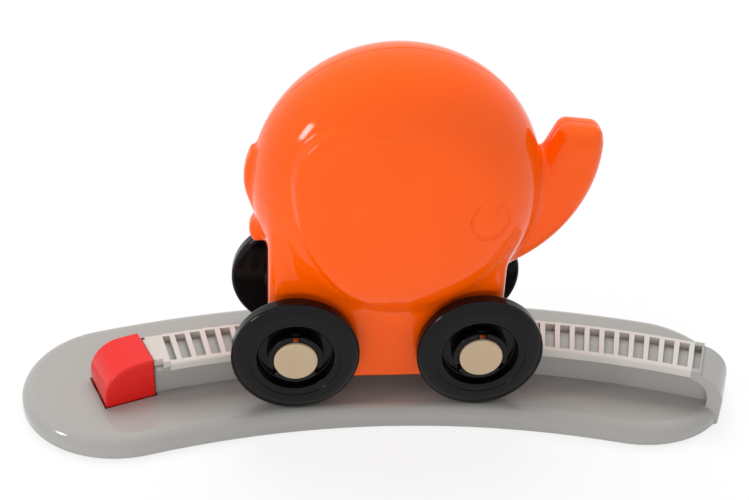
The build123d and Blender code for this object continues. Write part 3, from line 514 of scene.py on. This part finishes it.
# %% [markdown]
# ## From field to mesh
# A surface net puts one point into each grid cell that the skin passes through and joins the points of
# neighbouring cells by quads. The points are then moved along the field's slope until they lie on the
# skin, and the slope gives the normals. Grid lines are closer where the detail is finer: at the seam, at
# the lower edge and round the eye.

# %% Surface net
def grid_lines(low, high, step, *fine):
    """Grid lines a step apart, closer inside the fine spans (from, to, step)."""
    lines, here = [low], low
    while here < high:
        spans = [s for a, b, s in fine if a <= here < b]
        here += min(spans + [step])
        lines.append(here)
    return np.array(lines)


def net_surface(solid, xs, ys, zs):
    """Points and quads of the solid's skin, with the quads facing out."""
    field = solid(xs[:, None, None], ys[None, :, None], zs[None, None, :])
    inside = field < 0
    grid = np.meshgrid(xs, ys, zs, indexing="ij")
    cells = tuple(n - 1 for n in field.shape)
    total, count = np.zeros(cells + (3,)), np.zeros(cells)
    crossings = []
    for axis in range(3):
        low = tuple(slice(None, -1) if a == axis else slice(None) for a in range(3))
        high = tuple(slice(1, None) if a == axis else slice(None) for a in range(3))
        crossed = inside[low] != inside[high]
        gap = np.where(crossed, field[low] - field[high], 1)
        share = np.where(crossed, field[low] / gap, 0)
        points = np.stack([g[low] + share * (g[high] - g[low]) for g in grid], -1) * crossed[..., None]
        others = [a for a in range(3) if a != axis]
        for shift in ((0, 0), (0, 1), (1, 0), (1, 1)):
            part = [slice(None)] * 3
            for a, s in zip(others, shift):
                part[a] = slice(s, field.shape[a] - 1 + s)
            total += points[tuple(part)]
            count += crossed[tuple(part)]
        crossings.append((crossed, inside[low]))
    number = np.full(cells, -1)
    number[count > 0] = np.arange((count > 0).sum())
    corners = total[count > 0] / count[count > 0][:, None]
    quads = []
    for axis, (crossed, starts_inside) in enumerate(crossings):
        b, c = (axis + 1) % 3, (axis + 2) % 3
        edges = np.argwhere(crossed)
        around = []
        for sb, sc in ((-1, -1), (0, -1), (0, 0), (-1, 0)):
            cell = edges.copy()
            cell[:, b] += sb
            cell[:, c] += sc
            around.append(number[tuple(cell.T)])
        quad = np.stack(around, 1)
        flip = ~starts_inside[tuple(edges.T)]
        quad[flip] = quad[flip][:, ::-1]
        quads.append(quad)
    return corners, np.concatenate(quads)


def slope(solid, points, reach=0.03):
    """Gradient of the field at each point."""
    result = np.empty_like(points)
    for axis in range(3):
        step = np.zeros(3)
        step[axis] = reach
        result[:, axis] = (solid(*(points + step).T) - solid(*(points - step).T)) / (2 * reach)
    return result


def settle(solid, points, rounds=4, longest=0.4, flattest=0.3):
    """Moves points along the slope until they lie on the skin."""
    for _ in range(rounds):
        lean = slope(solid, points)
        move = lean * (solid(*points.T) / np.maximum((lean ** 2).sum(1), flattest))[:, None]
        points = points - np.clip(move, -longest, longest)
    return points


# %% Pieces from meshes
def add_piece(name, corners, faces, body, slot, *nodes):
    """Mesh piece from points in millimetres that rides on a body and stands for CAD nodes."""
    mesh = bpy.data.meshes.new(name)
    mesh.from_pydata((np.asarray(corners) * MM).tolist(), [], [list(map(int, face)) for face in faces])
    mesh.shade_smooth()
    mesh.materials.append(finishes[slot])
    piece = bpy.data.objects.new(name, mesh)
    scene.collection.objects.link(piece)
    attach(piece, body)
    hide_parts(*nodes)
    return piece


# %% Elephant halves
STEP, FINE_STEP, NEAR_SEAM_STEP, SEAM_STEP = 1.0, 0.4, 0.6, 0.24
TAIL_END, TRUNK_END, FACE, PAST_SEAM, FOOT, CROWN = -59.0, 83.0, -33.1, 0.9, 16.4, 152.0
eye_x, eye_z = BODY_X + EYE_X, BODY_Z + EYE_Z
eye_across, eye_up = (eye_x - 9, eye_x + 9, FINE_STEP), (eye_z - 9.5, eye_z + 9, FINE_STEP)
foot_edge, mouth_edge = (FOOT, 19.5, FINE_STEP), (24.4, 26.4, FINE_STEP)
near_seam, seam = (-3, -1.2, NEAR_SEAM_STEP), (-1.2, PAST_SEAM, SEAM_STEP)
xs = grid_lines(TAIL_END, TRUNK_END, STEP, eye_across)
zs = grid_lines(FOOT, CROWN, STEP, foot_edge, mouth_edge, eye_up)
ys = grid_lines(FACE, PAST_SEAM, STEP, near_seam, seam)
halves = (
    ("elephant_near_half", "near_shell", near_solid, 1),
    ("elephant_far_half", "far_shell", far_solid, -1))
for name, node, solid, sign in halves:
    points, quads = net_surface(solid, xs, ys, zs)
    points = settle(solid, points)
    normals = slope(solid, points)
    normals /= np.linalg.norm(normals, axis=1)[:, None]
    if sign < 0:
        points, normals = points * (1, -1, 1), normals * (1, -1, 1)
        quads = quads[:, ::-1]
    half = add_piece(name, points, quads, "elephant", "orange_abs", node)
    half.data.normals_split_custom_set_from_vertices(normals.tolist())
    print(name, len(points), "points")

# %% [markdown]
# ## Wheels
# Each wheel is one glossy black moulding: a tread with round shoulders, a stepped face, a deep recess and a
# collar of three fingers that snaps over the stub axle. A profile turned about the axle is how such a wheel
# is drawn and how its mould is cut, so it is lathed here, with the fingers as three part turns.

# %% Lathe
def lathe(profile, centre, side, steps, start=0.0, sweep=2 * pi):
    """Turns a closed (radius, depth) profile about the Y line through centre; side is -1 near, 1 far."""
    full = sweep >= 2 * pi
    rings = steps if full else steps + 1
    turns = [start + sweep * i / steps for i in range(rings)]
    corners = [
        (centre[0] + r * sin(t), side * d, centre[1] + r * cos(t)) for t in turns for r, d in profile]
    n, faces = len(profile), []
    for i in range(steps):
        a, b = i * n, (i + 1) % rings * n
        for j in range(n):
            k = (j + 1) % n
            quad = (a + j, a + k, b + k, b + j)
            faces.append(quad if side < 0 else quad[::-1])
    if not full:
        caps = [tuple(range(n))[::-1], tuple(range(steps * n, steps * n + n))]
        faces += [cap if side < 0 else cap[::-1] for cap in caps]
    return corners, faces


def tidy_normals(piece):
    """Even shading on flats next to small rounds."""
    weighted = piece.modifiers.new("even_shading", "WEIGHTED_NORMAL")
    weighted.keep_sharp = True


# %% Wheel pieces
WHEEL_RADIUS, WHEEL_IN, WHEEL_OUT = 25.0, 24.11, 31.75
STEP_RADIUS, STEP_DEPTH, RECESS_RADIUS, WEB = 17.65, 0.7, 14.75, 2.0
COLLAR_OUT, COLLAR_BORE, SLIT, SLIT_ROOT = 10.8, 8.53, 2.7, 29.2
SHOULDER, SHOULDER_DROP, SHOULDER_STEPS = 5.0, 2.6, 14
BACK_ROUND, RECESS_ROUND, FACE_DOME = 2.0, 1.4, 0.15
EDGE, STEP_EDGE, WEB_ROUND, FINGER_EDGE, BORE_EDGE, ROOT_EDGE = 0.2, 0.35, 0.6, 0.5, 0.4, 0.3
WEB_GAP, WEB_OVERLAP, ROOT_INSET = 0.1, 0.3, 0.3
FINGERS = 3
TYRE_STEPS, ROOT_STEPS, FINGER_STEPS = 128, 72, 24

shoulder = []
for step in range(SHOULDER_STEPS + 1):
    t = pi / 2 * step / SHOULDER_STEPS
    out = WHEEL_RADIUS - SHOULDER * (1 - cos(t))
    shoulder.append((out, WHEEL_OUT - SHOULDER_DROP * (1 - sin(t)), 0))
tyre_profile = soften([
    (COLLAR_OUT + WEB_GAP, WHEEL_IN, EDGE), (WHEEL_RADIUS, WHEEL_IN, BACK_ROUND),
    *shoulder,
    (STEP_RADIUS, WHEEL_OUT - FACE_DOME, STEP_EDGE), (STEP_RADIUS, WHEEL_OUT - STEP_DEPTH, EDGE),
    (RECESS_RADIUS, WHEEL_OUT - STEP_DEPTH, RECESS_ROUND), (RECESS_RADIUS, WHEEL_IN + WEB, WEB_ROUND),
    (COLLAR_OUT + WEB_GAP, WHEEL_IN + WEB, EDGE)], steps=10, share=0.7)
finger_profile = soften([
    (COLLAR_BORE, WHEEL_IN, EDGE), (COLLAR_OUT + WEB_OVERLAP, WHEEL_IN, 0),
    (COLLAR_OUT + WEB_OVERLAP, WHEEL_IN + WEB - EDGE, 0), (COLLAR_OUT, WHEEL_IN + WEB, 0),
    (COLLAR_OUT, WHEEL_OUT, FINGER_EDGE), (COLLAR_BORE, WHEEL_OUT, BORE_EDGE)], steps=3)
root_profile = soften([
    (COLLAR_BORE, WHEEL_IN, EDGE), (COLLAR_OUT - ROOT_INSET, WHEEL_IN, 0),
    (COLLAR_OUT - ROOT_INSET, SLIT_ROOT, ROOT_EDGE), (COLLAR_BORE, SLIT_ROOT, EDGE)], steps=3)
slit_turn = SLIT / (COLLAR_BORE + COLLAR_OUT)
finger_turn = 2 * pi / FINGERS - 2 * slit_turn
for end, x in (("front", AXLE_X), ("rear", -AXLE_X)):
    for hand, side in (("near", -1), ("far", 1)):
        corners, faces = lathe(tyre_profile, (x, AXLE_Z), side, TYRE_STEPS)
        turned = [lathe(root_profile, (x, AXLE_Z), side, ROOT_STEPS)]
        for finger in range(FINGERS):
            first = finger * 2 * pi / FINGERS + slit_turn
            turned.append(lathe(finger_profile, (x, AXLE_Z), side, FINGER_STEPS, first, finger_turn))
        for more, walls in turned:
            faces += [tuple(i + len(corners) for i in wall) for wall in walls]
            corners += more
        body = f"wheel_{end}_{hand}"
        tidy_normals(add_piece(f"{body}_turned", corners, faces, body, "black_abs", body))
print("four wheels")

# %% [markdown]
# ## Axle caps
# The cream axle caps are turned forms too: a faintly dished head that shows in the middle of the wheel, a
# neck that the collar snaps over, and a spigot that goes through the orange journal and the skirt's wall.

# %% Axle cap pieces
CAP_RADIUS, CAP_END, NECK, SPIGOT_IN = 8.45, 32.9, 7.95, 17.8
DISH_RADIUS, DISH_DEPTH, DISH_ROUND = 6.6, 0.3, 1.5
SPIGOT_PLAY, SPIGOT_EDGE, NECK_EDGE, CAP_EDGE = 0.05, 0.3, 0.1, 0.7
ON_AXIS = 0.01  # a profile stops a hair short of the axis
CAP_STEPS = 72
stub_profile = soften([
    (ON_AXIS, SPIGOT_IN, 0), (SPIGOT - SPIGOT_PLAY, SPIGOT_IN, SPIGOT_EDGE),
    (SPIGOT - SPIGOT_PLAY, JOURNAL_END, 0), (NECK, JOURNAL_END, NECK_EDGE),
    (NECK, WHEEL_OUT, NECK_EDGE), (CAP_RADIUS, WHEEL_OUT, NECK_EDGE), (CAP_RADIUS, CAP_END, CAP_EDGE),
    (DISH_RADIUS, CAP_END, DISH_ROUND), (ON_AXIS, CAP_END - DISH_DEPTH, 0)])
for end, x in (("front", AXLE_X), ("rear", -AXLE_X)):
    for hand, side in (("near", -1), ("far", 1)):
        corners, faces = lathe(stub_profile, (x, AXLE_Z), side, CAP_STEPS)
        tidy_normals(add_piece(
            f"stub_{end}_{hand}_turned", corners, faces, "elephant", "cream_abs", f"stub_{end}_{hand}"))
print("four axle caps")

# %% [markdown]
# ## Base, ladder and latch
# Base, ladder and latch already have their right shape in the CAD, but their small edges are knife-sharp.
# Real mouldings have a small radius on every edge, and that radius is what catches the light. A copy of the
# CAD mesh is cleaned to whole faces and gets a narrow bevel on its sharp edges.

# %% Bevelled copies
WELD_MM, FLAT_DEGREES, SHARP_DEGREES, BEVEL_STEPS = 0.002, 0.05, 32.0, 3


def bevelled_copy(node_name, name, body, slot, width_mm):
    """Piece from a CAD node's mesh with a bevel on its sharp edges, riding on the node's body."""
    source = frame["nodes"][node_name].data
    form = bmesh.new()
    corners = [form.verts.new(v.co) for v in source.vertices]
    for polygon in source.polygons:
        try:
            form.faces.new([corners[i] for i in polygon.vertices])
        except ValueError:  # the mesh has this face twice
            pass
    bmesh.ops.remove_doubles(form, verts=form.verts, dist=WELD_MM * MM)
    bmesh.ops.dissolve_limit(form, angle_limit=radians(FLAT_DEGREES), verts=form.verts, edges=form.edges)
    bmesh.ops.recalc_face_normals(form, faces=form.faces)
    mesh = bpy.data.meshes.new(name)
    form.to_mesh(mesh)
    form.free()
    mesh.shade_smooth()
    mesh.materials.append(finishes[slot])
    piece = bpy.data.objects.new(name, mesh)
    scene.collection.objects.link(piece)
    edge = piece.modifiers.new("moulded_edge", "BEVEL")
    edge.limit_method = "ANGLE"
    edge.angle_limit = radians(SHARP_DEGREES)
    edge.width = width_mm * MM
    edge.segments = BEVEL_STEPS
    tidy_normals(piece)
    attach(piece, body)
    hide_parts(node_name)
    print(name, len(mesh.polygons), "faces before the bevel")


bevelled_copy("base_shell", "base_moulding", "base", "grey_abs", 0.45)
bevelled_copy("rack_ladder", "ladder_moulding", "base", "ladder_grey_abs", 0.7)
bevelled_copy("latch_button", "latch_moulding", "latch", "red_abs", 0.5)
